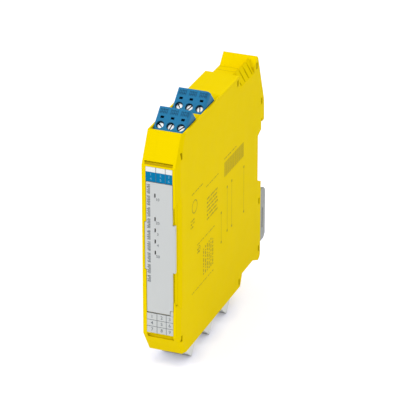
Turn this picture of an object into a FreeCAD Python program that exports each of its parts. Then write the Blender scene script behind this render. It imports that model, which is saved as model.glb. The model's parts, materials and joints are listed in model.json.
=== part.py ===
import FreeCAD, Part
import os
from FreeCAD import Vector

# Safety relay for a 35 mm top-hat rail, 17.5 mm wide, with pluggable screw terminals.
# The pieces are drawn from the housing's own corner: X across the width from the middle,
# Y back from the front face, Z up from the bottom edge. On export they move so that the
# origin is the middle of the rail seat, with +Y into the rail and +Z up.

# ---- housing ----------------------------------------------------------------
width = 17.5
height = 113.0
wall = 1.2
cover_thickness = 5.6          # left shell, from the left side to the parting plane
front_low = 12.0               # lower end of the upright front
top_slant_rise = 14.5
top_slant_depth = 7.8
bottom_slant_depth = 7.6
step_start = 80.0              # where the roof steps down behind the third level
step_drop = 4.4
hump_rise = 0.8                # hump over the roof in front
hump_run = 6.2                 # hump's peak in front of the rail seat
hump_slope = 5.0
hook_reach = 3.9               # hook's back behind the rail seat
hook_rise = 27.3               # hook's top above the rail's centre
belly_front = 82.0             # the bottom edge rises behind the lower terminals
belly_back = 84.7
belly_rise = 5.9
belly_run = 10.5               # the belly ends so far in front of the rail seat
heel_low = 2.6
heel_run = 3.0
edge_bevel_width = 1.15        # long bevel along the right front edge
edge_bevel_depth = 3.9
slant_bevel_depth = 2.4
grip_low = 20.5                # cut-away beside the flap for a finger
grip_high = 88.0
grip_start = 0.7
grip_depth = 5.3
grip_runout = 5.0

# ---- rail -------------------------------------------------------------------
rail_seat_depth = 110.0
rail_centre_height = 60.7
rail_height = 35.0
rail_brim = 1.0
rail_gap = 0.3
hook_catch = 1.6               # how far the hook reaches over the brim
relief_depth = 4.5
upper_pad = 5.6                # length of the seat pad above the relief
lower_pad_overlap = 1.7        # lower seat pad above the rail's lower edge
relief_slope = 1.8

# ---- terminal plugs ---------------------------------------------------------
pole_count = 3
pole_pitch = 5.08
plug_width = 15.4
plug_length = 15.6
plug_height = 12.4
plug_angle = 41.0              # screw face against the horizontal
plug_rise = 6.5                # ridge beyond the housing's edge
plug_ridge_depth = 20.5
bottom_plug_rise = 7.5
bottom_ridge_depth = 19.6
level_pitch = 23.1
top_levels = 2
bottom_levels = 3
plug_gap = 0.2                 # running gap between plug and bay
plug_ridge_radius = 0.4
plug_shoulder = 2.1            # right shoulder's radius at the ridge
plug_shoulder_end = 0.6
bay_mouth = 13.3               # the bay lies open from the ridge down to here
bay_mouth_height = 10.0
key_width = 1.2                # coding groove in the plug's belly
key_depth = 0.8
screw_place = 9.3              # screw axis from the ridge
screw_hole = 3.8               # diameter of the driver hole
screw_head = 3.1
screw_head_height = 1.4
screw_sink = 1.2               # head below the screw face
screw_shank = 1.9
screw_length = 4.3
screw_shelf = 0.6
screw_gap = 0.06
slot_width = 0.6
slot_depth = 0.7
slot_angles = (55, -15, -45, 40, -35, 15)
probe_place = 5.4              # test opening between screw and ridge
probe_width = 1.7
probe_height = 1.2
probe_depth = 2.0
cage_width = 3.7
cage_length = 4.0
cage_height = 5.6
cage_floor = 0.7
cage_head = 1.2
cage_side = 0.55
cage_gap = 0.15
cage_travel = 2.2
bar_width = 2.1
bar_thickness = 0.6
bar_gap = 0.25
funnel_width = 3.3
funnel_height = 2.6
pin_size = 1.0
pin_shortfall = 0.3            # the header pin ends short of the socket's inner end
pin_gap = 0.25
socket_wall = 0.35
socket_inset = 0.5             # socket's mouth inside the plug's rear face
socket_gap = 0.2               # between socket and cage
header_thickness = 2.0
bay_wall = 1.0

# ---- front ------------------------------------------------------------------
recess_left = -6.85
recess_depth = 1.6
flap_low = 23.4
flap_drop = 8.1                # flap's upper edge below the upright front's upper end
flap_right = 6.35
flap_thickness = 1.3
flap_gap = 0.25
flap_grip_low = 22.4           # wider part of the flap, above its lower edge
flap_grip_length = 24.1
flap_grip_reach = 0.75         # beyond the flap's left edge
flap_grip_right = 7.6
hinge_pin_radius = 0.4
hinge_pin_length = 0.9
hinge_ear_width = 1.3
hinge_ear_height = 2.2
hinge_gap = 0.08
strip_length = 7.25            # upper marking strip
strip_right = 6.3
grid_low = 12.9                # lower marking field
grid_right = 6.3
foot_ledge_low = 9.9           # recessed ledge below the marking field
foot_ledge_high = 12.4
foot_ledge_depth = 1.9
brow_height = 1.3              # groove across the slant above the upright front
brow_width = 0.6
brow_depth = 1.6
brow_left = -7.6
marker_thickness = 0.9
marker_gap = 0.1
light_size = 0.7
light_length = 2.0
light_x = -2.3
light_drops = (35.5, 29.8, 24.1, 18.4, 6.5)       # below the flap's upper edge

# ---- venting and latching ---------------------------------------------------
vent_width = 3.8
vent_drop = 6.6
vent_first = 2.5               # first slot behind the roof step
vent_slot = 0.7
vent_pitch = 4.9
vent_count = 4
vent_reach = 0.9               # the slots run past the bevel onto the roof
vent_end = 1.8
latch_long = 3.0
latch_short = 1.3
latch_gap = 0.12
latch_sink = 1.0               # latch tip below the side face

# ---- rail foot --------------------------------------------------------------
foot_reach = 7.0               # foot's back behind the rail seat
foot_drop = 49.2               # foot's lower end below the rail's centre
foot_length = 27.8
foot_sheet = 1.2
foot_corner = 2.0
foot_nose_width = 9.0
foot_catch = 1.7
foot_stem_width = 7.0
foot_stem_run = 9.0
foot_stem_lift = 2.9           # stem above the foot's lower end
foot_stem_height = 15.6
foot_travel = 3.0
foot_gap = 0.3
foot_side_gap = 0.2
foot_slot_lift = 6.5
foot_slot_length = 11.0
foot_slot_width = 0.8
spring_radius = 1.9
spring_wire = 0.45
spring_turns = 5
spring_seat = 0.1

# ---- electronics ------------------------------------------------------------
board_thickness = 1.6
board_stand = 0.9
board_front = 8.0
board_run = 11.0               # board's rear edge in front of the rail seat
board_low = 19.5
board_margin = 19.5            # board's upper edge below the roof
stand_radius = 1.5
relay_size = (10.0, 14.0, 26.0)
transformer_size = (9.5, 19.0, 21.0)
capacitor_radius = 3.6
capacitor_length = 8.5
capacitor_count = 3
capacitor_place = (40.0, 36.0) # first capacitor: depth, height
relay_place = (58.0, 32.0)     # first relay's lower front corner
component_gap = 2.0
pin_foot = 0.6

half = width / 2
part_plane = -half + cover_thickness
inner_left = -half + wall
inner_right = half - wall
rail_low = rail_centre_height - rail_height / 2
rail_high = rail_centre_height + rail_height / 2
front_high = height - top_slant_rise
roof_step = height - step_drop
hump_height = height + hump_rise
hump_peak = rail_seat_depth - hump_run
hump_foot = hump_peak - hump_slope
hook_rear = rail_seat_depth + hook_reach
hook_top = rail_centre_height + hook_rise
heel_depth = rail_seat_depth - heel_run
belly_end = rail_seat_depth - belly_run
foot_rear = rail_seat_depth + foot_reach
foot_low = rail_centre_height - foot_drop
foot_high = foot_low + foot_length
foot_stem_front = rail_seat_depth - foot_stem_run
foot_stem_low = foot_low + foot_stem_lift
foot_stem_high = foot_stem_low + foot_stem_height
board_rear = rail_seat_depth - board_run
board_high = height - board_margin
flap_high = front_high - flap_drop
strip_low = flap_high + flap_gap + marker_gap
strip_high = strip_low + strip_length
light_heights = [flap_high - drop for drop in light_drops]
latch_places = ((top_slant_depth - 2.25, height - 10), (bottom_slant_depth - 2.8, 9.7),
                (step_start - 2.6, height - 2.9), (hump_peak - 0.5, height - 4),
                (rail_seat_depth + 0.4, hook_top - 0.2), (heel_depth + 0.7, rail_low - 8.2),
                (heel_depth + 0.7, heel_low + 6.3), (belly_front - 1.5, 3.1))
hinge_y = flap_thickness / 2
hinge_z = flap_low + flap_thickness / 2
front_depth = grip_depth + wall
to_rail = Vector(0, -rail_seat_depth, -rail_centre_height)


def box(x0, x1, y0, y1, z0, z1):
    return Part.makeBox(x1 - x0, y1 - y0, z1 - z0, Vector(x0, y0, z0))


def middle_box(x, y, z, size_x, size_y, size_z):
    return box(x - size_x / 2, x + size_x / 2, y - size_y / 2, y + size_y / 2,
               z - size_z / 2, z + size_z / 2)


def prism(points, x0, x1):
    """Extrude a closed outline of (depth, height) points from x0 to x1."""
    corners = [Vector(x0, y, z) for y, z in points]
    return Part.Face(Part.makePolygon(corners + corners[:1])).extrude(Vector(x1 - x0, 0, 0))


def plan_prism(points, z0, z1):
    """Extrude a closed outline of (across, depth) points from z0 to z1."""
    corners = [Vector(x, y, z0) for x, y in points]
    return Part.Face(Part.makePolygon(corners + corners[:1])).extrude(Vector(0, 0, z1 - z0))


def rod(radius, length, start, direction):
    return Part.makeCylinder(radius, length, start, direction)


def save(name, shapes):
    moved = []
    for shape in shapes if isinstance(shapes, list) else [shapes]:
        piece = shape.removeSplitter()
        piece.translate(to_rail)
        moved += piece.Solids
    result = moved[0] if len(moved) == 1 else Part.makeCompound(moved)
    result.exportStep("parts/" + name + ".step")


# ---- housing shells ---------------------------------------------------------

def housing_outline():
    seat = rail_seat_depth
    relief = seat - relief_depth
    slot_top = rail_high + rail_gap
    slot_rear = seat + rail_brim + rail_gap
    pad_top = rail_low + lower_pad_overlap
    return [
        (0, front_low), (0, front_high), (top_slant_depth, height),
        (step_start, height), (step_start, roof_step), (hump_foot, roof_step),
        (hump_peak, hump_height), (hump_peak + 1.3, hump_height - 1.6),
        (hook_rear - 0.4, hook_top), (hook_rear, hook_top - 4),
        (hook_rear, rail_high - hook_catch), (slot_rear, rail_high - hook_catch),
        (slot_rear, slot_top), (seat, slot_top), (seat, slot_top - upper_pad),
        (relief, slot_top - upper_pad - relief_slope), (relief, pad_top + relief_slope),
        (seat, pad_top), (seat, heel_low + 3), (seat - 0.8, heel_low + 1), (heel_depth, heel_low),
        (belly_end, belly_rise), (belly_back, belly_rise), (belly_front, 0),
        (bottom_slant_depth, 0),
    ]


def housing_hollow():
    corners = [Vector(inner_left, y, z) for y, z in housing_outline()]
    wire = Part.makePolygon(corners + corners[:1])
    inner = wire.makeOffset2D(-wall, 2, False, False)
    if inner.BoundBox.DiagonalLength > wire.BoundBox.DiagonalLength:
        inner = wire.makeOffset2D(wall, 2, False, False)
    return Part.Face(inner).extrude(Vector(inner_right - inner_left, 0, 0))


def edge_bevel(start, end, depth):
    """Wedge that bevels the right edge along one front segment of the outline."""
    along = Vector(0, end[0] - start[0], end[1] - start[1])
    run = along.Length
    along.normalize()
    out = Vector(0, -along.z, along.y)
    if out.y > 0:
        out = out * -1
    edge = Vector(half - edge_bevel_width, start[0], start[1]) - along * run
    slope = Vector(edge_bevel_width, 0, 0) - out * depth
    low = edge + slope * 2
    high = edge - slope * 2
    corner = edge + out * (4 * depth) + Vector(6 * edge_bevel_width, 0, 0)
    return Part.Face(Part.makePolygon([low, high, corner, low])).extrude(along * (3 * run))


def grip_cut():
    """Finger cut beside the flap: a sloping face whose ends run out towards the side."""
    x0 = flap_right + flap_gap
    x1 = 2 * half - x0
    y1 = grip_start + 2 * (grip_depth - grip_start)
    wedge = plan_prism([(x0, grip_start), (x1, y1), (x1, -1), (x0, -1)], grip_low, grip_high)
    rise = 2 * grip_runout
    for z, way in ((grip_low, 1), (grip_high, -1)):
        corner = [Vector(x0, -2, z), Vector(x1, -2, z), Vector(x0, -2, z + way * rise)]
        end = Part.Face(Part.makePolygon(corner + corner[:1])).extrude(Vector(0, y1 + 4, 0))
        wedge = wedge.cut(end)
    return wedge


def latch_arm(place, gap, x0, x1):
    y, z = place
    return box(x0, x1, y - latch_short / 2 - gap, y + latch_short / 2 + gap,
               z - latch_long / 2 - gap, z + latch_long / 2 + gap)


def vent_corner(body):
    """Bevelled right roof edge behind the step, with slots through it."""
    x0 = half - vent_width
    ridge = Part.Face(Part.makePolygon([
        Vector(x0, step_start, roof_step - wall), Vector(x0, step_start, height),
        Vector(half, step_start, height - vent_drop), Vector(half, step_start, roof_step - 6 * wall),
        Vector(inner_right, step_start, roof_step - 6 * wall),
        Vector(inner_right, step_start, roof_step - wall),
        Vector(x0, step_start, roof_step - wall)])).extrude(Vector(0, hump_peak - 2 - step_start, 0))
    above = Part.Face(Part.makePolygon([
        Vector(x0, step_start, height), Vector(x0 - 0.01, step_start, height + 9),
        Vector(half + 4, step_start, height + 9), Vector(half + 4, step_start, height - vent_drop - 6.95),
        Vector(x0, step_start, height)])).extrude(Vector(0, hump_foot + 1 - step_start, 0))
    body = body.cut(above).fuse(ridge)
    for i in range(vent_count):
        y = step_start + vent_first + i * vent_pitch
        body = body.cut(box(x0 - vent_reach, half + 1, y, y + vent_slot,
                            roof_step - vent_end, height + 1))
    return body


def housing():
    outline = housing_outline()
    body = prism(outline, -half, half)
    body = body.cut(housing_hollow())
    body = vent_corner(body)
    shell = prism(outline, -half, half).fuse(prism([
        (step_start, roof_step), (step_start, height), (hump_peak, height),
        (hump_foot, roof_step)], half - vent_width, half))
    for side, level in plug_levels():
        block = box(inner_left - 0.1, inner_right + 0.1,
                    -plug_length - plug_gap - header_thickness, 12,
                    -plug_height - plug_gap - bay_wall, plug_gap + bay_wall)
        body = body.fuse(place_plug(block, side, level).common(shell))
    for side, level in plug_levels():
        body = body.cut(place_plug(bay_cavity(), side, level))
    top, bottom = (top_slant_depth, height), (bottom_slant_depth, 0)
    body = body.cut(edge_bevel((0, front_low), (0, front_high), edge_bevel_depth))
    body = body.cut(edge_bevel((0, front_high), top, slant_bevel_depth))
    body = body.cut(edge_bevel(bottom, (0, front_low), slant_bevel_depth))
    front = front_block().common(shell)
    body = body.fuse(front)
    body = body.cut(grip_cut())
    body = body.cut(front_recesses())
    body = body.fuse(hinge_ear())
    pin_hole = hinge_pin_radius + hinge_gap
    body = body.cut(rod(pin_hole, flap_right - recess_left + 2 * hinge_pin_length,
                        Vector(recess_left - hinge_pin_length - 0.1, hinge_y, hinge_z),
                        Vector(1, 0, 0)))
    for z in light_heights:
        body = body.cut(middle_box(light_x, front_depth / 2, z, light_size + 2 * marker_gap,
                                   front_depth + 2, light_length + 2 * marker_gap))
    return body.cut(foot_opening())


def front_block():
    """Thickened front wall that carries the flap, the marking strips and the finger cut."""
    return box(inner_left, inner_right - 0.9, wall / 2, front_depth, front_low, front_high)


def front_recesses():
    grip = flap_low + flap_grip_low
    deep = box(recess_left, flap_right + flap_gap, -1, recess_depth,
               flap_low - flap_gap, flap_high + flap_gap)
    deep = deep.fuse(box(recess_left - flap_grip_reach, half + 1, -1, recess_depth,
                         grip - flap_gap, grip + flap_grip_length + flap_gap))
    upper = box(recess_left, strip_right + marker_gap, -1, marker_thickness,
                strip_low - marker_gap, strip_high + marker_gap)
    lower = box(recess_left, grid_right + marker_gap, -1, marker_thickness,
                grid_low - marker_gap, flap_low)
    ledge = box(recess_left, grid_right, -1, foot_ledge_depth, foot_ledge_low, foot_ledge_high)
    brow = box(brow_left, grid_right, -1, brow_depth, front_high + brow_height,
               front_high + brow_height + brow_width)
    return deep.fuse([upper, lower, ledge, brow])


def hinge_ear():
    ear_left = flap_right - hinge_ear_width
    return box(ear_left, flap_right + 0.3, 0.1, grip_depth, flap_low - flap_gap,
               flap_low + hinge_ear_height)


def foot_opening():
    side = foot_stem_width / 2 + foot_gap
    return box(-side, side, rail_seat_depth - wall - 2, rail_seat_depth + 1,
               foot_stem_low - foot_travel - foot_gap, foot_stem_high + foot_gap)


def shells():
    whole = housing()
    windows = [latch_arm(place, latch_gap, inner_right - 0.5, half + 1) for place in latch_places]
    right = whole.common(box(part_plane, half + 1, -5, 200, -20, 200)).cut(windows)
    left = whole.common(box(-half - 1, part_plane, -5, 200, -20, 200))
    arms = [latch_arm(place, 0, inner_left - wall / 2, half - latch_sink) for place in latch_places]
    stands = []
    for y in (board_front + 4, board_rear - 4):
        for z in (board_low + 4, board_high - 4):
            stands.append(rod(stand_radius, board_stand + wall / 2,
                              Vector(inner_left - wall / 2, y, z), Vector(1, 0, 0)))
    return left.fuse(arms + stands), right


# ---- terminal plugs ---------------------------------------------------------
# A plug is drawn with its ridge on the X axis: +Y is the way it pulls out and the
# wires enter, +Z is the way its screws point out.

def plug_levels():
    return [(1, i) for i in range(top_levels)] + [(-1, i) for i in range(bottom_levels)]


def place_plug(shape, side, level):
    piece = shape.copy()
    origin, across = Vector(0, 0, 0), Vector(1, 0, 0)
    if side < 0:
        piece.rotate(origin, Vector(0, 1, 0), 180)
    piece.rotate(origin, across, side * plug_angle)
    if side > 0:
        ridge = Vector(0, plug_ridge_depth, height + plug_rise)
    else:
        ridge = Vector(0, bottom_ridge_depth, -bottom_plug_rise)
    piece.translate(ridge + Vector(0, level * level_pitch, 0))
    return piece


def bay_cavity():
    side = plug_width / 2 + plug_gap
    body = box(-side, side, -plug_length - plug_gap - header_thickness - plug_gap, 2 * plug_length,
               -plug_height - plug_gap, plug_gap + 0.1)
    return body.fuse(box(-side, side, -bay_mouth, 2 * plug_length, 0, bay_mouth_height))


def pole_places():
    return [(i - (pole_count - 1) / 2) * pole_pitch for i in range(pole_count)]


head_low = -screw_sink - screw_head_height
cage_top = head_low - screw_shelf - cage_gap - cage_travel
cage_bottom = cage_top - cage_height
bar_top = head_low - screw_length - bar_gap
bar_low = bar_top - bar_thickness
pin_level = bar_low + bar_thickness / 2
socket_size = pin_size + 2 * pin_gap + 2 * socket_wall
socket_start = -plug_length + socket_inset
socket_length = plug_length - socket_inset - socket_gap - screw_place - cage_length / 2
pin_reach = socket_length - pin_shortfall


def plug_block():
    """Body of a plug, with its rounded right shoulder and eased ridge."""
    side = plug_width / 2
    body = box(-side, side, -plug_length, 0, -plug_height, 0)
    shoulder = [e for e in body.Edges if e.BoundBox.XMin > side - 0.01 and e.BoundBox.ZMin > -0.01]
    body = body.makeFillet(plug_shoulder_end, plug_shoulder, shoulder)
    ridge = [e for e in body.Edges if e.BoundBox.YMin > -0.01 and e.BoundBox.ZMin > -0.01]
    return body.makeFillet(plug_ridge_radius, ridge)


def plug_housing():
    body = plug_block()
    cuts = []
    for x in pole_places():
        cuts.append(rod(screw_hole / 2, screw_sink + screw_head_height + screw_gap,
                        Vector(x, -screw_place, head_low - screw_gap), Vector(0, 0, 1)))
        cuts.append(rod(screw_shank / 2 + 2 * screw_gap, screw_length, Vector(x, -screw_place, head_low),
                        Vector(0, 0, -1)))
        cuts.append(middle_box(x, -probe_place, -probe_depth / 2 + 0.1, probe_width,
                               probe_height, probe_depth + 0.2))
        cavity_top = cage_top + cage_travel + cage_gap
        cuts.append(box(x - cage_width / 2 - cage_gap, x + cage_width / 2 + cage_gap,
                        -screw_place - cage_length / 2 - cage_gap,
                        -screw_place + cage_length / 2 + cage_gap,
                        cage_bottom - cage_gap, cavity_top))
        funnel_z = (bar_low + cage_bottom + cage_floor) / 2
        cuts.append(box(x - funnel_width / 2, x + funnel_width / 2, -screw_place, 1,
                        funnel_z - funnel_height / 2, funnel_z + funnel_height / 2))
        cuts.append(middle_box(x, (-plug_length - 1 + socket_start + socket_length + 0.1) / 2, pin_level,
                               socket_size + 0.1, socket_start + socket_length + 1.1 + plug_length,
                               socket_size + 0.1))
        cuts.append(box(x - bar_width / 2 - 0.05, x + bar_width / 2 + 0.05,
                        socket_start + socket_length, -screw_place, bar_low - 0.05, bar_top + 0.05))
    groove = plug_width / 2 - pole_pitch
    for x in (-groove, groove):
        cuts.append(box(x - key_width / 2, x + key_width / 2, -plug_length - 1, -plug_length + 6,
                        -plug_height - 1, -plug_height + key_depth))
    return body.cut(cuts)


def plug_contacts():
    """One strip and box socket for each pole."""
    contacts = []
    for x in pole_places():
        bar = box(x - bar_width / 2, x + bar_width / 2, socket_start + socket_length - 0.1,
                  -screw_place + cage_length / 2, bar_low, bar_top)
        socket = middle_box(x, socket_start + socket_length / 2, pin_level,
                            socket_size, socket_length, socket_size)
        hole = pin_size + 2 * pin_gap
        bore = middle_box(x, socket_start + socket_length / 2 - 0.6, pin_level, hole,
                          socket_length, hole)
        contacts.append(socket.cut(bore).fuse(bar))
    return contacts


def clamp_screw(x, slot_angle):
    top = -screw_sink
    head = rod(screw_head / 2, screw_head_height, Vector(x, -screw_place, head_low), Vector(0, 0, 1))
    shank = rod(screw_shank / 2, screw_length, Vector(x, -screw_place, head_low), Vector(0, 0, -1))
    slot = middle_box(x, -screw_place, top, slot_width, screw_head + 1, 2 * slot_depth)
    slot.rotate(Vector(x, -screw_place, 0), Vector(0, 0, 1), slot_angle)
    return head.fuse(shank).cut(slot)


def clamp_cage(x):
    body = box(x - cage_width / 2, x + cage_width / 2, -screw_place - cage_length / 2,
               -screw_place + cage_length / 2, cage_bottom, cage_top)
    window = box(x - cage_width / 2 + cage_side, x + cage_width / 2 - cage_side,
                 -screw_place - cage_length, -screw_place + cage_length,
                 cage_bottom + cage_floor, cage_top - cage_head)
    thread = rod(screw_shank / 2 + screw_gap, cage_head + 1,
                 Vector(x, -screw_place, cage_top - cage_head - 0.5), Vector(0, 0, 1))
    return body.cut([window, thread])


def header_strip():
    side = plug_width / 2 + plug_gap - 0.05
    front = -plug_length - plug_gap
    return box(-side, side, front - header_thickness, front,
               -plug_height - plug_gap + 0.05, plug_gap - 0.05)


def header_pins():
    pins = []
    low = -plug_length - plug_gap - header_thickness - pin_foot
    for x in pole_places():
        pins.append(box(x - pin_size / 2, x + pin_size / 2, low, -plug_length + pin_reach,
                        pin_level - pin_size / 2, pin_level + pin_size / 2))
    return pins


# ---- front pieces -----------------------------------------------------------

def front_flap():
    left = recess_left + flap_gap
    ear_left = flap_right - hinge_ear_width
    body = box(left, flap_right, 0, flap_thickness, flap_low, flap_high)
    grip = flap_low + flap_grip_low
    grips = box(left - flap_grip_reach, flap_grip_right, 0, flap_thickness,
                grip, grip + flap_grip_length)
    body = body.fuse(grips)
    body = body.cut(box(ear_left - flap_gap, flap_right + 1, -1, 3, flap_low - 1,
                        flap_low + hinge_ear_height + flap_gap))
    barrel = rod(flap_thickness / 2, ear_left - flap_gap - left, Vector(left, hinge_y, hinge_z),
                 Vector(1, 0, 0))
    body = body.cut(box(left - 1, flap_right, -1, 3, flap_low - 1, hinge_z)).fuse(barrel)
    for z in light_heights:
        body = body.cut(middle_box(light_x, 0, z, light_size, 3 * flap_thickness, light_length))
    pins = rod(hinge_pin_radius, ear_left - left + 2 * hinge_pin_length - flap_gap,
               Vector(left - hinge_pin_length, hinge_y, hinge_z), Vector(1, 0, 0))
    return body.fuse(pins)


def marker(low, high, right):
    return box(recess_left + marker_gap, right, 0, marker_thickness, low, high)


def light_guides():
    bar_front = front_depth
    low, high = min(light_heights), max(light_heights)
    bar = box(light_x - light_size, light_x + light_size, bar_front, bar_front + light_size,
              low - light_length, high + light_length)
    rods = [middle_box(light_x, (recess_depth + bar_front) / 2, z, light_size,
                       bar_front - recess_depth, light_length) for z in light_heights]
    return bar.fuse(rods)


# ---- rail foot --------------------------------------------------------------

def rail_foot():
    seat = rail_seat_depth
    side = half - foot_side_gap
    web_front = foot_rear - foot_sheet
    flange = [(seat + foot_gap, foot_low), (foot_rear - foot_corner, foot_low),
              (foot_rear, foot_low + foot_corner), (foot_rear, foot_high - foot_corner),
              (foot_rear - foot_corner, foot_high), (seat + foot_gap, foot_high)]
    body = prism(flange, -side, side)
    body = body.cut(box(-side + foot_sheet, side - foot_sheet, seat, web_front, foot_low - 1,
                        foot_high + 1))
    for x in (-side, side - foot_sheet):
        body = body.cut(box(x - 1, x + foot_sheet + 1, seat + 2.6, seat + 2.6 + foot_slot_width,
                            foot_low + foot_slot_lift, foot_low + foot_slot_lift + foot_slot_length))
    nose_top = rail_low + foot_catch
    nose_front = seat + rail_brim + rail_gap
    nose = prism([(nose_front, foot_high - 6), (nose_front, nose_top), (nose_front + 1.2, nose_top),
                  (foot_rear - foot_corner, foot_high), (web_front + 0.1, foot_high - 6)],
                 -foot_nose_width / 2, foot_nose_width / 2)
    stem = box(-foot_stem_width / 2, foot_stem_width / 2, foot_stem_front, web_front + 0.1,
               foot_stem_low, foot_stem_high)
    stem = stem.cut(box(-foot_stem_width / 2 + foot_sheet, foot_stem_width / 2 - foot_sheet,
                        foot_stem_front + 6, seat - wall, foot_stem_low - 1, foot_stem_high - 2))
    release = middle_box(0, foot_rear, foot_low + 1.6, 4, 4, 1.2)
    return body.fuse([nose, stem]).cut(release)


def foot_spring():
    floor = belly_rise + wall + spring_seat
    top = foot_stem_low - spring_seat
    run = top - floor - spring_wire * 2
    helix = Part.makeHelix(run / spring_turns, run, spring_radius)
    start = helix.Edges[0].Vertexes[0].Point
    ring = Part.Wire(Part.makeCircle(spring_wire / 2, start, Vector(0, 1, 0)))
    coil = Part.Wire(helix).makePipeShell([ring], True, True)
    coil.translate(Vector(0, foot_stem_front + 3, floor + spring_wire))
    return coil


# ---- electronics ------------------------------------------------------------

def electronics():
    x0 = inner_left + board_stand
    face = x0 + board_thickness
    pieces = {"main_board": box(x0, face, board_front, board_rear, board_low, board_high)}
    depth, rise = relay_place
    for i in range(2):
        y = depth + i * (relay_size[1] + component_gap)
        pieces["safety_contact_relay_%d" % (i + 1)] = box(
            face, face + relay_size[0], y, y + relay_size[1], rise, rise + relay_size[2])
    z = rise + relay_size[2] + 2 * component_gap
    pieces["transformer"] = box(face, face + transformer_size[0], depth, depth + transformer_size[1],
                                z, z + transformer_size[2])
    cans = []
    y, z = capacitor_place
    for i in range(capacitor_count):
        cans.append(rod(capacitor_radius, capacitor_length, Vector(face, y, z), Vector(1, 0, 0)))
        z += 2 * capacitor_radius + component_gap
    pieces["capacitors"] = cans
    return pieces


def main():
    os.makedirs("parts", exist_ok=True)
    left, right = shells()
    save("left_shell", left)
    save("right_shell", right)
    save("front_flap", front_flap())
    save("upper_marking_strip", marker(strip_low, strip_high, strip_right))
    save("lower_marking_field", marker(grid_low, flap_low - flap_gap - marker_gap, grid_right))
    save("light_guides", light_guides())
    save("rail_foot", rail_foot())
    save("foot_spring", foot_spring())
    pins = []
    for side, level in plug_levels():
        name = "%s_plug_%d" % ("top" if side > 0 else "bottom", level + 1)
        save(name, place_plug(plug_housing(), side, level))
        save(name + "_contacts", [place_plug(c, side, level) for c in plug_contacts()])
        for i, x in enumerate(pole_places()):
            angle = slot_angles[(i + 3 * level) % len(slot_angles)]
            save("%s_screw_%d" % (name, i + 1), place_plug(clamp_screw(x, angle), side, level))
            save("%s_clamp_%d" % (name, i + 1), place_plug(clamp_cage(x), side, level))
        header = header_strip().cut(header_pins())
        save(name.replace("plug", "header"), place_plug(header, side, level))
        pins += [place_plug(pin, side, level) for pin in header_pins()]
    save("header_pins", pins)
    for name, shape in electronics().items():
        save(name, shape)


main()
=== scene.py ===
import json
import math

import bmesh
import bpy
from mathutils import Matrix, Vector


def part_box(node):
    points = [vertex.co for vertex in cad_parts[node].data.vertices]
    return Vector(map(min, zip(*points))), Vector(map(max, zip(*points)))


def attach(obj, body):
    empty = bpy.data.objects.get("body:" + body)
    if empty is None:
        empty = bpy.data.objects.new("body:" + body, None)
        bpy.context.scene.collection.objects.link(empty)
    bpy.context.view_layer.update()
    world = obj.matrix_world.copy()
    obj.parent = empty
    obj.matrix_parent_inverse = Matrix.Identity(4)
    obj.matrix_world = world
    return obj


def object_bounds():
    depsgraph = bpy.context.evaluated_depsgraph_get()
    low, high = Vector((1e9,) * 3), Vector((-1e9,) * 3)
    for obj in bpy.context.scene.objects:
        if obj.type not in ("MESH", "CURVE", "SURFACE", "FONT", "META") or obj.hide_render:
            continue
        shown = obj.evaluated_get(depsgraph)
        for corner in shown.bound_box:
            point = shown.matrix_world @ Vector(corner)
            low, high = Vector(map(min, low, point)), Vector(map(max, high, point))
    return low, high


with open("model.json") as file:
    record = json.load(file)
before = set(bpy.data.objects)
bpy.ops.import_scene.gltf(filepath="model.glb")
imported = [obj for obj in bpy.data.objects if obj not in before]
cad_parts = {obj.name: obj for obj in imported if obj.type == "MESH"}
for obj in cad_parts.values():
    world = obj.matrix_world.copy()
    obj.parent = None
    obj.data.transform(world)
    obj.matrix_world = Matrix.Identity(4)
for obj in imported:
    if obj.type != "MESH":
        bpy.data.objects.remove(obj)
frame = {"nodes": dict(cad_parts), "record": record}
cad_box = [list(corner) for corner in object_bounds()]

MM = 0.001

# ---- view -------------------------------------------------------------------
VIEW_AZIMUTH = math.radians(21.32)      # from the front, towards the right side
VIEW_ELEVATION = math.radians(25.68)
VIEW_DISTANCE = 1.345
VIEW_TARGET = Vector((0.0, -53.0, -4.7)) * MM
VIEW_LENS = 249.3
VIEW_SENSOR = 36.0
VIEW_SHIFT = (-0.0026, -0.0068)
VIEW_CLIP = (0.05, 20)

# ---- studio, in metres and watts --------------------------------------------
LAMPS = (                               # name, place, side, power
    ("key_light", (-0.95, -0.75, 0.80), 0.7, 9.5),
    ("fill_light", (0.9, -0.5, 0.55), 0.9, 3.0),
    ("top_light", (0.1, 0.25, 1.2), 0.8, 3.2))
WORLD_LIGHT = 0.55
WORLD_SEEN = 1.0
FLOOR_REACH = 2.5
FLOOR_LIT = (0.95, 0.95, 0.95)          # for the light that it sends back
# bluish, to cancel the yellow light that the housing throws into the floor's shadow
FLOOR_SEEN = (0.54, 0.545, 0.66)        # for the eye and reflections
# the glow dims close to the object, which paints a shadow there
FLOOR_GLOW = (0.24, 0.60)               # close to the object, and away from it
FLOOR_ROUGH = 0.9
# reach, depth and samples of the shadow painted on the floor
SHADOW_REACH = 9 * MM
SHADOW_DEEPEST = 0.3
SHADOW_SAMPLES = 16

# ---- colours, linear --------------------------------------------------------
YELLOW = (0.86, 0.645, 0.0)
YELLOW_SHEEN = (1.0, 0.78, 0.0)
LABEL_GREY = (0.57, 0.59, 0.59)
MARKING_WHITE = (0.80, 0.81, 0.80)
PRINT_BLUE = (0.0, 0.185, 0.395)
PRINT_DARK = (0.10, 0.12, 0.13)
PRINT_PALE = (0.13, 0.15, 0.17)
PRINT_SKY = (0.22, 0.48, 0.66)
PLUG_BLUE = (0.022, 0.180, 0.36)
PLUG_SHEEN = (0.5, 0.8, 1.0)
# painted shade of the ribs on the blue plugs
PLUG_RIB_SHADE = (0.010, 0.095, 0.20)
# painted shade of the ribs on the grey plugs
GREY_RIB_SHADE = (0.42, 0.44, 0.45)
PLUG_GREY = (0.72, 0.75, 0.76)
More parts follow.
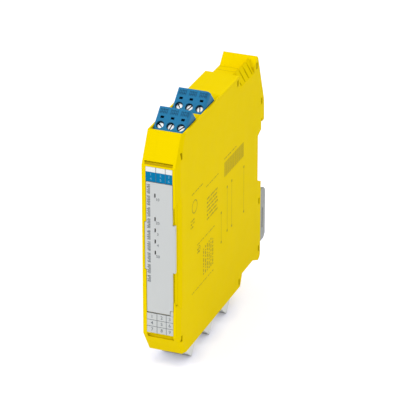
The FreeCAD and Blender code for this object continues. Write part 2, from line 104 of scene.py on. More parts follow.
# painted shade for the groove above the upper strip
SHADE_YELLOW = (0.50, 0.33, 0.0)
ETCHED_YELLOW = (0.44, 0.315, 0.0)
# painted shade of the fine steps on the roof
STEP_SHADE_YELLOW = (0.70, 0.51, 0.0)
GUIDE_CLEAR = (0.34, 0.36, 0.34)
FOOT_STEEL = (0.26, 0.27, 0.225)
SPRING_STEEL = (0.55, 0.56, 0.56)
SCREW_ZINC = (0.80, 0.84, 0.86)
CONTACT_METAL = (0.78, 0.75, 0.66)
HEADER_DARK = (0.02, 0.03, 0.035)
BOARD_GREEN = (0.012, 0.11, 0.05)
RELAY_CREAM = (0.62, 0.60, 0.52)
CORE_DARK = (0.03, 0.03, 0.032)

# ---- grain, in noise cells to the metre, and fine relief --------------------
NOISE_MIDDLE = (0.3, 0.7)               # most of a noise's values lie in here
# painted shade in grooves and holes: the open-sky range it spans, and its samples
HOLLOW_SHADE_RANGE = (0.3, 0.85)              # share of open sky, deep in a groove and on a face
HOLLOW_SHADE_SAMPLES = 8
EDGE_SAMPLES = 6
MOULDED_DRIFT, MOULDED_SHEEN = 55, 260
MOULDED_SPREAD = 0.05                   # of the roughness, either way
# reach of the shade painted into moulded grooves and holes
MOULDED_SHADE_REACH = 2.2 * MM
MOULDED_EDGE = 0.15 * MM
METAL_DRIFT = 140
METAL_CHANGE = 0.06
METAL_SMOOTHER, METAL_ROUGHER = 0.07, 0.08
# reach of the shade painted into grooves and holes in metal
METAL_SHADE_REACH = 1.2 * MM
METAL_EDGE = 0.08 * MM
GUIDE_DRIFT, GUIDE_SHEEN = 600, 1500
GUIDE_ROUGH = (0.12, 0.25)

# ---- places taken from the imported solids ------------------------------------
PLUG_ANGLE = math.radians(41)
PLUG_LENGTH = 15.6 * MM
PLUG_HEIGHT = 12.4 * MM
POLE_PITCH = 5.08 * MM
FRONT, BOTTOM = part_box("left_shell")[0].y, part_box("left_shell")[0].z
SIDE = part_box("right_shell")[1].x

# ---- print on the front -----------------------------------------------------
PRINT_THICK = 0.03 * MM
LINE_WIDE = 0.2 * MM
COLUMN_LINES = (-1.75 * MM, 2.89 * MM)
CELL_COLUMNS = len(COLUMN_LINES) + 1
BLUE_SHARE = 0.66                       # of the upper strip's height
UPPER_ROWS = (0.28, 0.74)               # as shares of the blue field's height
UPPER_DIGIT = 1.7 * MM
LOWER_ROWS = 3
LOWER_DIGIT = 2.4 * MM
DIGIT_STEPS = 3                         # in each curve of a digit
MARK_INSET = 1.2 * MM                   # column on the flap, from its left and upper edges
MARK_WIDE = 1.65 * MM
MARK_FOOT = 16 * MM
MARK_BARS = (0.30, 0.22, 0.42, 0.26, 0.36)
MARK_BAR_INSETS = (0.0, 0.5, 0.0, 0.25, 0.7, 0.0, 0.35)
MARK_GROUP = 9                          # bars between two wider gaps
MARK_GAP, MARK_GROUP_GAP = 0.24, 1.1
LIGHT_DROPS = [drop * MM for drop in (6.5, 18.4, 24.1, 29.8, 35.5)]
LIGHT_NUMBERS = ("10", "20", "3", "4", "50")
LIGHT_DIGIT = 1.9 * MM
LIGHT_NUMBER_RIGHT, LIGHT_NUMBER_DROP = 1.3 * MM, 1.9 * MM

# ---- ribs on the plugs, in mm from the ridge --------------------------------
RIB_COUNT = 5
RIB_PITCH = 0.82
RIB_HALF = 0.16
RIB_SUNK = 0.05                         # as far below the face as above it
RIB_FOOT, RIB_TOP, RIB_STAGGER = -3.7, -1.0, 0.5
BAR_PLACES = (-1.6, -3.0)
BAR_HALF, BAR_WIDE = 1.5, 0.3

# ---- etching on the right side, in mm from the front and the lower edge -----
BLOCK_FROM, BLOCK_TO = 59.8, 85.6
BLOCK_HEIGHTS = (68.8, 76.4)
BLOCK_BARS = (0.45, 0.25, 0.7, 0.3, 0.5)
BLOCK_GAPS = (0.35, 0.5, 0.3)
STROKE_FIELDS = (                       # depths, heights, rows, upright
    (59.8, 76, 78, 79.4, 1, False), (18, 33, 77.6, 79, 1, False),
    (36, 52, 74, 75.2, 1, False), (37, 51, 56.5, 69, 6, False),
    (16.5, 21, 61, 66, 3, False), (24.6, 47, 49, 50.2, 1, False),
    (24.6, 28, 44.6, 48, 2, False), (32.2, 46.4, 30, 45, 6, True),
    (17.6, 46.4, 26.4, 27.4, 1, False))
STROKE_RUNS = (0.9, 1.6, 0.6, 1.2, 2.0)
STROKE_GAPS = (0.5, 0.9, 0.5)
STROKE_SHORTEST = 0.8
STROKE_SHARE = 0.45                     # of a row's pitch
RULES = ((63.5, 39, 62.2), (69.6, 38.8, 62.8), (86.0, 39, 63), (55.6, 36.4, 52))
RULE_WIDE = 0.25
RULE_END_SIDE, RULE_END_HALF = 0.5, 0.6
RINGS = ((21.4, 70.8, 3.4, 0.5), (27.0, 46.5, 1.6, 0.35))   # depth, height, radius, width
RING_STEPS = 32
ETCH_LIFT = 0.015 * MM

# ---- trim on the housing, in mm from its middle, front and lower edge -------
CUT_SIDES = (6.6, 7.6)                  # just inside the front block and the side wall
CUT_START, CUT_LIP, CUT_BACK = 0.7, 0.9, 6.4
CUT_HEIGHTS = (20.5, 88.0)
CUT_WIDE, CUT_DEEP, CUT_END_RUN = 2.15, 4.6, 5
CUT_FOOT = 13.5
CUT_HEAD_RISE = 6                       # above the flap
FLAP_TALL, STRIP_GAP = 67, 0.35
FLAP_RIGHT, FLAP_GAP = 6.35, 0.25
FLAP_BULGE = (22.1, 46.8)               # from the flap's lower edge
LIP_CLEAR = 0.03
LIP_DEPTHS = (0.3, 1.6)
EAR_WIDE, EAR_TALL = 1.3, 2.2
EAR_DEPTHS = (0.02, 0.11)
ROOF = 108.6
ROOF_LINES = (83.6, 88.4, 93.2, 97.4)
ROOF_LINE_WIDE = 0.35
ROOF_LINE_SPAN = (-8.2, 3.7)
ROOF_LINE_SUNK, ROOF_LINE_PROUD = 0.02, 0.03
BROW_DEPTHS = (0.23, 0.68)
BROW_HEIGHTS = (98.95, 99.8)
BROW_SPAN = (-7.4, 6.3)
BROW_LIFT = 0.03


# ---- materials --------------------------------------------------------------

def new_material(name):
    material = bpy.data.materials.new(name)
    material.use_nodes = True
    tree = material.node_tree
    shader = next(n for n in tree.nodes if n.type == "BSDF_PRINCIPLED")
    return material, tree, shader


def noise(tree, scale, detail=3.0, stretch=(1, 1, 1)):
    """Noise in the object's own metres, so its grain keeps a real size."""
    place = tree.nodes.new("ShaderNodeTexCoord")
    size = tree.nodes.new("ShaderNodeMapping")
    size.inputs["Scale"].default_value = stretch
    grain = tree.nodes.new("ShaderNodeTexNoise")
    grain.inputs["Scale"].default_value = scale
    grain.inputs["Detail"].default_value = detail
    tree.links.new(place.outputs["Object"], size.inputs["Vector"])
    tree.links.new(size.outputs["Vector"], grain.inputs["Vector"])
    return grain.outputs["Fac"]


def spread(tree, factor, low, high):
    """Maps the middle of a noise to the range from low to high."""
    ranged = tree.nodes.new("ShaderNodeMapRange")
    ranged.inputs["From Min"].default_value = NOISE_MIDDLE[0]
    ranged.inputs["From Max"].default_value = NOISE_MIDDLE[1]
    ranged.inputs["To Min"].default_value = low
    ranged.inputs["To Max"].default_value = high
    tree.links.new(factor, ranged.inputs["Value"])
    return ranged.outputs["Result"]


def tinted(tree, factor, colour, change):
    """Colour that drifts between darker and lighter by the share change."""
    mix = tree.nodes.new("ShaderNodeMix")
    mix.data_type = "RGBA"
    mix.inputs["A"].default_value = [c * (1 - change) for c in colour] + [1]
    mix.inputs["B"].default_value = [min(1, c * (1 + change)) for c in colour] + [1]
    tree.links.new(factor, mix.inputs["Factor"])
    return mix.outputs["Result"]


def paint_hollow_shade(tree, colour, reach, depth):
    """Paints shade into a colour in grooves and holes narrower than the reach."""
    hollow_shade = tree.nodes.new("ShaderNodeAmbientOcclusion")
    hollow_shade.samples = HOLLOW_SHADE_SAMPLES
    hollow_shade.inputs["Distance"].default_value = reach
    shade = tree.nodes.new("ShaderNodeMapRange")
    shade.inputs["From Min"].default_value = HOLLOW_SHADE_RANGE[0]
    shade.inputs["From Max"].default_value = HOLLOW_SHADE_RANGE[1]
    shade.inputs["To Min"].default_value = 1 - depth
    mix = tree.nodes.new("ShaderNodeMix")
    mix.data_type = "RGBA"
    mix.inputs["A"].default_value = (0, 0, 0, 1)
    tree.links.new(hollow_shade.outputs["AO"], shade.inputs["Value"])
    tree.links.new(shade.outputs["Result"], mix.inputs["Factor"])
    tree.links.new(colour, mix.inputs["B"])
    return mix.outputs["Result"]


def add_bump(tree, shader, factor, depth, edge):
    """Fine relief, over edges that are eased by the radius edge."""
    bump = tree.nodes.new("ShaderNodeBump")
    bump.inputs["Distance"].default_value = depth
    tree.links.new(factor, bump.inputs["Height"])
    tree.links.new(bump.outputs["Normal"], shader.inputs["Normal"])
    eased = tree.nodes.new("ShaderNodeBevel")
    eased.samples = EDGE_SAMPLES
    eased.inputs["Radius"].default_value = edge
    tree.links.new(eased.outputs["Normal"], bump.inputs["Normal"])


def moulded(name, colour, roughness=0.42, grain=5200, depth=0.012 * MM, change=0.025,
            specular=0.4, sheen=(1, 1, 1), hollow_shade=0.35):
    """Satin injection moulding: spark-eroded grain, slight sheen and faint colour drift, with
    shade painted into its grooves and holes.
    """
    material, tree, shader = new_material(name)
    shader.inputs["Specular IOR Level"].default_value = specular
    shader.inputs["Specular Tint"].default_value = (*sheen, 1)
    drift = tinted(tree, noise(tree, MOULDED_DRIFT), colour, change)
    tree.links.new(paint_hollow_shade(tree, drift, MOULDED_SHADE_REACH, hollow_shade), shader.inputs["Base Color"])
    sheen_drift = spread(tree, noise(tree, MOULDED_SHEEN), roughness - MOULDED_SPREAD,
                         roughness + MOULDED_SPREAD)
    tree.links.new(sheen_drift, shader.inputs["Roughness"])
    add_bump(tree, shader, noise(tree, grain, 2.0), depth, MOULDED_EDGE)
    return material


def metal(name, colour, roughness, stretch, grain=900, depth=0.006 * MM, hollow_shade=0.5):
    """Plated metal with drawn or turned lines along one direction, with shade painted into its
    grooves and holes.
    """
    material, tree, shader = new_material(name)
    shader.inputs["Metallic"].default_value = 1.0
    lines = noise(tree, grain, 4.0, stretch)
    drift = tinted(tree, noise(tree, METAL_DRIFT), colour, METAL_CHANGE)
    tree.links.new(paint_hollow_shade(tree, drift, METAL_SHADE_REACH, hollow_shade), shader.inputs["Base Color"])
    tree.links.new(spread(tree, lines, roughness - METAL_SMOOTHER, roughness + METAL_ROUGHER),
                   shader.inputs["Roughness"])
    add_bump(tree, shader, lines, depth, METAL_EDGE)
    return material


def print_and_shade_ink(name, colour):
    """Matt ink with a little mottle, for print and for painted shade."""
    return moulded(name, colour, roughness=0.5, grain=9000, depth=0.004 * MM, change=0.04,
                   specular=0.05)


def clear_guide(name):
    """Clear plastic with a faintly uneven surface."""
    material, tree, shader = new_material(name)
    shader.inputs["Transmission Weight"].default_value = 0.5
    shader.inputs["IOR"].default_value = 1.49
    tree.links.new(tinted(tree, noise(tree, GUIDE_DRIFT), GUIDE_CLEAR, 0.08),
                   shader.inputs["Base Color"])
    tree.links.new(spread(tree, noise(tree, GUIDE_SHEEN), *GUIDE_ROUGH),
                   shader.inputs["Roughness"])
    return material


LABEL_GRAIN = {"roughness": 0.45, "grain": 6000, "depth": 0.008 * MM, "change": 0.02}
PLUG_GRAIN = {"grain": 6500, "depth": 0.010 * MM}

finishes = {
    "housing_yellow": moulded("housing_yellow", YELLOW, roughness=0.5, specular=0.01,
                              sheen=YELLOW_SHEEN),
    "flap_grey": moulded("flap_grey", LABEL_GREY, **LABEL_GRAIN),
    "marking_white": moulded("marking_white", MARKING_WHITE, **LABEL_GRAIN),
    "light_guide": clear_guide("light_guide"),
    "foot_steel": metal("foot_steel", FOOT_STEEL, 0.36, (0.06, 1, 1)),
    "spring_steel": metal("spring_steel", SPRING_STEEL, 0.28, (1, 1, 1)),
    # the plugs and the screws get deep shade painted into their recesses
    "plug_blue": moulded("plug_blue", PLUG_BLUE, change=0.04, specular=0.1, sheen=PLUG_SHEEN,
                         hollow_shade=0.85, **PLUG_GRAIN),
    "plug_grey": moulded("plug_grey", PLUG_GREY, roughness=0.4, change=0.03, **PLUG_GRAIN),
    "screw_zinc": metal("screw_zinc", SCREW_ZINC, 0.3, (1, 1, 0.2), grain=2600,
                        depth=0.004 * MM, hollow_shade=0.95),
    "contact_metal": metal("contact_metal", CONTACT_METAL, 0.3, (0.2, 1, 1), grain=2600),
    "header_dark": moulded("header_dark", HEADER_DARK, roughness=0.45),
    "board_green": moulded("board_green", BOARD_GREEN, roughness=0.3, grain=3000,
                           depth=0.01 * MM, change=0.1),
    "relay_case": moulded("relay_case", RELAY_CREAM, roughness=0.3),
    "core_dark": moulded("core_dark", CORE_DARK, roughness=0.5),
}
ink_blue = print_and_shade_ink("ink_blue", PRINT_BLUE)
ink_dark = print_and_shade_ink("ink_dark", PRINT_DARK)
ink_pale = print_and_shade_ink("ink_pale", PRINT_PALE)
ink_sky = print_and_shade_ink("ink_sky", PRINT_SKY)
# painted shade for the groove above the upper strip
painted_groove_shade = print_and_shade_ink("painted_groove_shade", SHADE_YELLOW)
ink_etched = print_and_shade_ink("ink_etched", ETCHED_YELLOW)
# painted shade of the fine steps on the roof
painted_step_shade = print_and_shade_ink("painted_step_shade", STEP_SHADE_YELLOW)
# rib materials, darker than the plugs, with the ribs' shade painted in
blue_rib_shade = moulded("blue_rib_shade", PLUG_RIB_SHADE, change=0.04, specular=0.25, sheen=PLUG_SHEEN,
                    **PLUG_GRAIN)
grey_rib_shade = moulded("grey_rib_shade", GREY_RIB_SHADE, change=0.03, **PLUG_GRAIN)


def dress_nodes():
    for part in frame["record"]["subparts"]:
        node = frame["nodes"][part["node"]]
        node.data.materials.clear()
        node.data.materials.append(finishes[part["material_slot"]])


# ---- making pieces ----------------------------------------------------------

def slab(mesh, low, high):
    """Adds a closed box between two corners."""
    corners = [mesh.verts.new((x, y, z)) for x in (low[0], high[0]) for y in (low[1], high[1])
               for z in (low[2], high[2])]
    for face in ((0, 1, 3, 2), (4, 6, 7, 5), (0, 4, 5, 1), (2, 3, 7, 6), (0, 2, 6, 4),
                 (1, 5, 7, 3)):
        mesh.faces.new([corners[i] for i in face])


def solid_prism(mesh, low_face, high_face):
    """Adds a closed prism between two rings of corners."""
    a = [mesh.verts.new(c) for c in low_face]
    b = [mesh.verts.new(c) for c in high_face]
    mesh.faces.new(a)
    mesh.faces.new(list(reversed(b)))
    for i in range(len(a)):
        j = (i + 1) % len(a)
        mesh.faces.new((a[i], b[i], b[j], a[j]))


def piece(name, mesh, material, body):
    """Turns a mesh into a visible piece that moves with a body."""
    data = bpy.data.meshes.new(name)
    bmesh.ops.recalc_face_normals(mesh, faces=mesh.faces)
    mesh.to_mesh(data)
    mesh.free()
    made = bpy.data.objects.new(name, data)
    bpy.context.scene.collection.objects.link(made)
    data.materials.append(material)
    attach(made, body)


# ---- print on the front -----------------------------------------------------

def front_print(name, fields, y, material, body, thick=PRINT_THICK):
    """Thin ink on a front face: fields are (x0, x1, z0, z1) and y is the face they lie on."""
    mesh = bmesh.new()
    for x0, x1, z0, z1 in fields:
        slab(mesh, (x0, y - thick, z0), (x1, y, z1))
    piece(name, mesh, material, body)


def numerals(name, marks, size, y, material, body):
    """Plain upright numbers: marks are (text, x, z) with the place of each one's middle."""
    mesh = bmesh.new()
    for text, x, z in marks:
        curve = bpy.data.curves.new(name, "FONT")
        curve.body = text
        curve.size = size
        curve.align_x, curve.align_y = "CENTER", "CENTER"
        curve.extrude = PRINT_THICK / 2
        curve.resolution_u = DIGIT_STEPS
        letter = bpy.data.objects.new(name, curve)
        bpy.context.scene.collection.objects.link(letter)
        bpy.context.view_layer.update()
        shape = bpy.data.meshes.new_from_object(letter)
        shape.transform(Matrix.Translation((x, y - PRINT_THICK / 2, z))
                        @ Matrix.Rotation(math.radians(90), 4, "X"))
        mesh.from_mesh(shape)
        bpy.data.objects.remove(letter)
        bpy.data.meshes.remove(shape)
        bpy.data.curves.remove(curve)
    piece(name, mesh, material, body)


def upright_lines(low, high):
    """Lines between the columns of cells, over the whole height of a strip."""
    return [(x - LINE_WIDE / 2, x + LINE_WIDE / 2, low.z, high.z) for x in COLUMN_LINES]


def cell_numbers(low, high, row_heights):
    """Numbers of the cells, from 1 at the upper left: row heights go from the lowest up."""
    edges = (low.x,) + COLUMN_LINES + (high.x,)
    middles = [(a + b) / 2 for a, b in zip(edges, edges[1:])]
    last = len(row_heights) - 1
    return [(str(CELL_COLUMNS * (last - r) + c + 1), x, z)
            for r, z in enumerate(row_heights) for c, x in enumerate(middles)]


def upper_marking():
    """Blue field with plain numbers below a white head, on the upper strip."""
    low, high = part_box("upper_marking_strip")
    face = low.y
    split = low.z + BLUE_SHARE * (high.z - low.z)
    front_print("upper_blue_field", [(low.x, high.x, low.z, split)], face,
                ink_blue, "housing")
    rows = [low.z + (split - low.z) * share for share in UPPER_ROWS]
    numerals("upper_numbers", cell_numbers(low, high, rows), UPPER_DIGIT, face - PRINT_THICK,
             ink_sky, "housing")
    front_print("upper_column_lines", upright_lines(low, high), face - PRINT_THICK, ink_pale,
                "housing", PRINT_THICK / 2)


def lower_marking():
    """Rows of cells with plain numbers, on the lower field."""
    low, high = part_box("lower_marking_field")
    face = low.y
    row = (high.z - low.z) / LOWER_ROWS
    level_lines = [(low.x, high.x, low.z + i * row - LINE_WIDE / 2,
                    low.z + i * row + LINE_WIDE / 2) for i in range(1, LOWER_ROWS)]
    front_print("lower_cell_lines", upright_lines(low, high) + level_lines, face, ink_pale,
                "housing")
    rows = [low.z + (r + 0.5) * row for r in range(LOWER_ROWS)]
    numerals("lower_numbers", cell_numbers(low, high, rows), LOWER_DIGIT, face, ink_pale,
             "housing")


def flap_marking():
    """A broken column down the left of the flap, and a number below each light window."""
    low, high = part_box("front_flap")
    face = low.y
    left = low.x + MARK_INSET
    bars = []
    z = high.z - MARK_INSET
    step = 0
    while z > low.z + MARK_FOOT:
        run = MARK_BARS[step % len(MARK_BARS)] * MM
        inset = MARK_BAR_INSETS[step % len(MARK_BAR_INSETS)] * MM
        bars.append((left + inset, left + MARK_WIDE, z - run, z))
        group_ends = step % MARK_GROUP == MARK_GROUP - 1
        z -= run + (MARK_GROUP_GAP if group_ends else MARK_GAP) * MM
        step += 1
    front_print("flap_mark_column", bars, face, ink_pale, "front_flap")
    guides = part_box("light_guides")
    number_x = (guides[0].x + guides[1].x) / 2 + LIGHT_NUMBER_RIGHT
    marks = [(number, number_x, high.z - drop - LIGHT_NUMBER_DROP)
             for number, drop in zip(LIGHT_NUMBERS, LIGHT_DROPS)]
    numerals("flap_light_numbers", marks, LIGHT_DIGIT, face, ink_dark, "front_flap")


# ---- ribs on the plugs ------------------------------------------------------

def plug_place(name, side):
    """Frame of a plug: its ridge on X, the screw face towards +Z and the wires from +Y."""
    low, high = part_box(name)
    reach = PLUG_LENGTH * math.sin(PLUG_ANGLE) + PLUG_HEIGHT * math.cos(PLUG_ANGLE)
    ridge_z = low.z + reach if side > 0 else high.z - reach
    ridge = Vector((0, high.y - PLUG_HEIGHT * math.sin(PLUG_ANGLE), ridge_z))
    turn = Matrix.Rotation(side * PLUG_ANGLE, 4, "X")
    if side < 0:
        turn = turn @ Matrix.Rotation(math.pi, 4, "Y")
    return Matrix.Translation(ridge) @ turn


def plug_marks(name, side, material):
    """Shallow upright ribs and crossbars by each pole, between the ridge and the test hole,
    darker than the plug with their shade painted in.
    """
    mesh = bmesh.new()
    sunk = RIB_SUNK * MM
    for pole in (-1, 0, 1):
        middle = pole * POLE_PITCH
        for i in range(RIB_COUNT):
            x = middle + (i - RIB_COUNT // 2) * RIB_PITCH * MM
            top = (RIB_TOP - RIB_STAGGER * (i % 2)) * MM
            slab(mesh, (x - RIB_HALF * MM, RIB_FOOT * MM, -sunk),
                 (x + RIB_HALF * MM, top, sunk))
        for y in BAR_PLACES:
            slab(mesh, (middle - BAR_HALF * MM, y * MM, -sunk),
                 (middle + BAR_HALF * MM, (y + BAR_WIDE) * MM, sunk))
    mesh.transform(plug_place(name, side))
    piece(name + "_ribs", mesh, material, name)


def all_plug_marks():
    for kind, side, material, slot in (("bottom_plug_", -1, grey_rib_shade, "plug_grey"),
                                       ("top_plug_", 1, blue_rib_shade, "plug_blue")):
        for name in sorted(frame["nodes"]):
            if name.startswith(kind) and name[len(kind):].isdigit():
                plug_marks(name, side, material)


# ---- etching on the right side ----------------------------------------------

def strokes(y0, y1, z0, z1, rows, upright):
    """Short generic strokes that fill a field in rows, or in columns when upright."""
    fields = []
    across, along = (z1 - z0, y1 - y0) if not upright else (y1 - y0, z1 - z0)
    pitch = across / rows
    for r in range(rows):
        place, step = 0.0, r
        while place < along - STROKE_SHORTEST:
            run = STROKE_RUNS[step % len(STROKE_RUNS)]
            low, high = r * pitch, r * pitch + STROKE_SHARE * pitch
            end = min(place + run, along)
            fields.append((y0 + low, y0 + high, z0 + place, z0 + end) if upright
                          else (y0 + place, y0 + end, z0 + low, z0 + high))
            place += run + STROKE_GAPS[step % len(STROKE_GAPS)]
            step += 1
    return fields


def ring(mesh, y, z, radius, wide):
    """Flat ring round a place on the right side."""
    loops = []
    for x, r in ((SIDE - ETCH_LIFT, radius), (SIDE + ETCH_LIFT, radius),
                 (SIDE + ETCH_LIFT, radius - wide), (SIDE - ETCH_LIFT, radius - wide)):
        loops.append([mesh.verts.new((x, FRONT + (y + r * math.cos(a)) * MM,
                                      BOTTOM + (z + r * math.sin(a)) * MM))
                      for a in (2 * math.pi * i / RING_STEPS for i in range(RING_STEPS))])
    for a, b in zip(loops, loops[1:] + loops[:1]):
        for i in range(RING_STEPS):
            j = (i + 1) % RING_STEPS
            mesh.faces.new((a[i], a[j], b[j], b[i]))


def side_marking():
    """Faint etched bars, strokes, rules and rings of a generic kind."""
    fields = []
    y, step = BLOCK_FROM, 0
    while y < BLOCK_TO:
        wide = BLOCK_BARS[step % len(BLOCK_BARS)]
        fields.append((y, y + wide, *BLOCK_HEIGHTS))
        y += wide + BLOCK_GAPS[step % len(BLOCK_GAPS)]
        step += 1
    for field in STROKE_FIELDS:
        fields += strokes(*field)
    for y, z0, z1 in RULES:
        fields.append((y, y + RULE_WIDE, z0, z1))
        fields += [(y - RULE_END_SIDE, y + RULE_WIDE + RULE_END_SIDE,
                    end - RULE_END_HALF, end + RULE_END_HALF) for end in (z0, z1)]
    mesh = bmesh.new()
    for y0, y1, z0, z1 in fields:
        slab(mesh, (SIDE - ETCH_LIFT, FRONT + y0 * MM, BOTTOM + z0 * MM),
             (SIDE + ETCH_LIFT, FRONT + y1 * MM, BOTTOM + z1 * MM))
    for y, z, radius, wide in RINGS:
        ring(mesh, y, z, radius, wide)
    piece("side_etching", mesh, ink_etched, "housing")


# ---- trim on the housing ----------------------------------------------------

def finger_cut_floor():
    """Closes the finger cut's sloping face between the front block and the side wall."""
    flap_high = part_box("front_flap")[1].z
    x0, x1 = (x * MM for x in CUT_SIDES)
    low, high = (BOTTOM + z * MM for z in CUT_HEIGHTS)
    start, back = CUT_START * MM, CUT_BACK * MM
    deep = start + CUT_DEEP / CUT_WIDE * (x1 - x0)
    end_run = CUT_END_RUN / CUT_WIDE * (x1 - x0)
    mesh = bmesh.new()
    plan = ((x0, start), (x1, deep), (x1, back), (x0, back))
    solid_prism(mesh, [(x, FRONT + y, low) for x, y in plan],
                [(x, FRONT + y, high) for x, y in plan])
    for end, way, far in ((low, 1, BOTTOM + CUT_FOOT * MM),
                          (high, -1, flap_high + CUT_HEAD_RISE * MM)):
        face = ((x0, far), (x1, far), (x1, end + way * end_run), (x0, end))
        solid_prism(mesh, [(x, FRONT + CUT_LIP * MM, z) for x, z in face],
                    [(x, FRONT + back, z) for x, z in face])
    piece("finger_cut_floor", mesh, finishes["housing_yellow"], "housing")


def brow_shade():
    """Thin dark sheet with the shade of the sloping lower side of the groove above the upper
    strip painted on it.
    """
    (y0, y1), (z0, z1) = BROW_DEPTHS, BROW_HEIGHTS
    mesh = bmesh.new()
    plan = ((y0 - BROW_LIFT, z0), (y1 - BROW_LIFT, z1), (y1 + BROW_LIFT, z1),
            (y0 + BROW_LIFT, z0))
    left, right = ([(x * MM, FRONT + y * MM, BOTTOM + z * MM) for y, z in plan]
                   for x in BROW_SPAN)
    solid_prism(mesh, left, right)
    piece("brow_shade", mesh, painted_groove_shade, "housing")


def flap_surround():
    """Lip beside the flap's right edge, and the flap-coloured face of the hinge ear."""
    flap_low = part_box("upper_marking_strip")[0].z - (FLAP_TALL + STRIP_GAP) * MM
    flap_right, gap = FLAP_RIGHT * MM, FLAP_GAP * MM
    bulge_low, bulge_high = (flap_low + z * MM for z in FLAP_BULGE)
    mesh = bmesh.new()
    for z0, z1 in ((flap_low, bulge_low), (bulge_high, flap_low + FLAP_TALL * MM)):
        slab(mesh, (flap_right + LIP_CLEAR * MM, FRONT + LIP_DEPTHS[0] * MM, z0),
             (flap_right + gap, FRONT + LIP_DEPTHS[1] * MM, z1))
    piece("flap_gap_lip", mesh, finishes["housing_yellow"], "housing")
    mesh = bmesh.new()
    slab(mesh, (flap_right - EAR_WIDE * MM, FRONT + EAR_DEPTHS[0] * MM, flap_low - gap),
         (flap_right, FRONT + EAR_DEPTHS[1] * MM, flap_low + EAR_TALL * MM))
    piece("hinge_ear_face", mesh, finishes["flap_grey"], "housing")


def roof_lines():
    """Fine moulded steps across the roof behind the plugs, as thin strips darker than the roof
    that paint the steps' shade.
    """
    roof = BOTTOM + ROOF * MM
    mesh = bmesh.new()
    for y in ROOF_LINES:
        slab(mesh, (ROOF_LINE_SPAN[0] * MM, FRONT + y * MM, roof - ROOF_LINE_SUNK * MM),
             (ROOF_LINE_SPAN[1] * MM, FRONT + (y + ROOF_LINE_WIDE) * MM,
              roof + ROOF_LINE_PROUD * MM))
    piece("roof_lines", mesh, painted_step_shade, "housing")


# ---- light, floor and camera ------------------------------------------------

def seen_rays(tree):
    """One for camera, glossy and transmission rays, and nought for the rest."""
    rays = tree.nodes.new("ShaderNodeLightPath")
    value = rays.outputs["Is Camera Ray"]
    for kind in ("Is Glossy Ray", "Is Transmission Ray"):
        node = tree.nodes.new("ShaderNodeMath")
        node.operation = "MAXIMUM"
        tree.links.new(value, node.inputs[0])
        tree.links.new(rays.outputs[kind], node.inputs[1])
        value = node.outputs[0]
    return value


def floor_material():
    """Floor that the eye and reflections see as white, with a soft grey shadow close by,
    partly cast by the lamps and partly painted by dimming its glow near the object.
    """
    material, tree, shader = new_material("studio_floor")
    shader.inputs["Roughness"].default_value = FLOOR_ROUGH
    shader.inputs["Specular IOR Level"].default_value = 0.0
    seen = seen_rays(tree)
    tone = tree.nodes.new("ShaderNodeMix")
    tone.data_type = "RGBA"
    tone.inputs["A"].default_value = (*FLOOR_LIT, 1)
    tone.inputs["B"].default_value = (*FLOOR_SEEN, 1)
    tree.links.new(seen, tone.inputs["Factor"])
    tree.links.new(tone.outputs["Result"], shader.inputs["Base Color"])
    # dims the glow close to the object: a painted shadow
    near = tree.nodes.new("ShaderNodeAmbientOcclusion")
    near.samples = SHADOW_SAMPLES
    near.inputs["Distance"].default_value = SHADOW_REACH
    shade = tree.nodes.new("ShaderNodeMapRange")
    shade.inputs["From Min"].default_value = SHADOW_DEEPEST
    shade.inputs["To Min"].default_value = FLOOR_GLOW[0]
    shade.inputs["To Max"].default_value = FLOOR_GLOW[1]
    glow = tree.nodes.new("ShaderNodeMath")
    glow.operation = "MULTIPLY"
    tree.links.new(near.outputs["AO"], shade.inputs["Value"])
    tree.links.new(shade.outputs["Result"], glow.inputs[0])
    tree.links.new(seen, glow.inputs[1])
    shader.inputs["Emission Color"].default_value = (1, 1, 1, 1)
    tree.links.new(glow.outputs[0], shader.inputs["Emission Strength"])
    return material


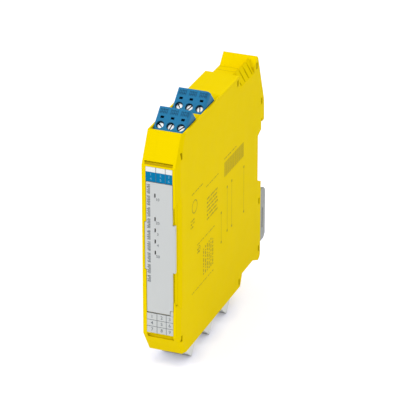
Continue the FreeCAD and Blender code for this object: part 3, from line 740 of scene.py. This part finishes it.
def studio_world():
    """Soft white light from all round, and a white background to the eye."""
    world = bpy.data.worlds.new("studio")
    bpy.context.scene.world = world
    world.use_nodes = True
    tree = world.node_tree
    tree.nodes.clear()
    out = tree.nodes.new("ShaderNodeOutputWorld")
    mix = tree.nodes.new("ShaderNodeMixShader")
    tree.links.new(seen_rays(tree), mix.inputs["Fac"])
    for socket, strength in ((1, WORLD_LIGHT), (2, WORLD_SEEN)):
        white = tree.nodes.new("ShaderNodeBackground")
        white.inputs["Color"].default_value = (1, 1, 1, 1)
        white.inputs["Strength"].default_value = strength
        tree.links.new(white.outputs[0], mix.inputs[socket])
    tree.links.new(mix.outputs[0], out.inputs["Surface"])


def studio_floor():
    """Wide floor at the height of the part's lowest point."""
    mesh = bmesh.new()
    level = cad_box[0][2]
    mesh.faces.new([mesh.verts.new((x * FLOOR_REACH, y * FLOOR_REACH, level))
                    for x, y in ((-1, -1), (1, -1), (1, 1), (-1, 1))])
    data = bpy.data.meshes.new("studio_floor")
    mesh.to_mesh(data)
    mesh.free()
    floor = bpy.data.objects.new("studio_floor", data)
    bpy.context.scene.collection.objects.link(floor)
    data.materials.append(floor_material())


def studio_lamps():
    for name, place, side, power in LAMPS:
        lamp = bpy.data.lights.new(name, "AREA")
        lamp.shape = "SQUARE"
        lamp.size = side
        lamp.energy = power
        source = bpy.data.objects.new(name, lamp)
        source.location = place
        aim = VIEW_TARGET - Vector(place)
        source.rotation_euler = aim.to_track_quat("-Z", "Y").to_euler()
        bpy.context.scene.collection.objects.link(source)


def camera():
    lens = bpy.data.cameras.new("camera")
    lens.lens = VIEW_LENS
    lens.sensor_width = VIEW_SENSOR
    lens.shift_x, lens.shift_y = VIEW_SHIFT
    lens.clip_start, lens.clip_end = VIEW_CLIP
    view = bpy.data.objects.new("camera", lens)
    back = Vector((math.sin(VIEW_AZIMUTH) * math.cos(VIEW_ELEVATION),
                   -math.cos(VIEW_AZIMUTH) * math.cos(VIEW_ELEVATION),
                   math.sin(VIEW_ELEVATION)))
    view.location = VIEW_TARGET + VIEW_DISTANCE * back
    view.rotation_euler = back.to_track_quat("Z", "Y").to_euler()
    bpy.context.scene.collection.objects.link(view)
    bpy.context.scene.camera = view


dress_nodes()
upper_marking()
lower_marking()
flap_marking()
all_plug_marks()
side_marking()
finger_cut_floor()
brow_shade()
flap_surround()
roof_lines()
studio_world()
studio_floor()
studio_lamps()
camera()
bpy.context.scene.view_settings.view_transform = "Standard"
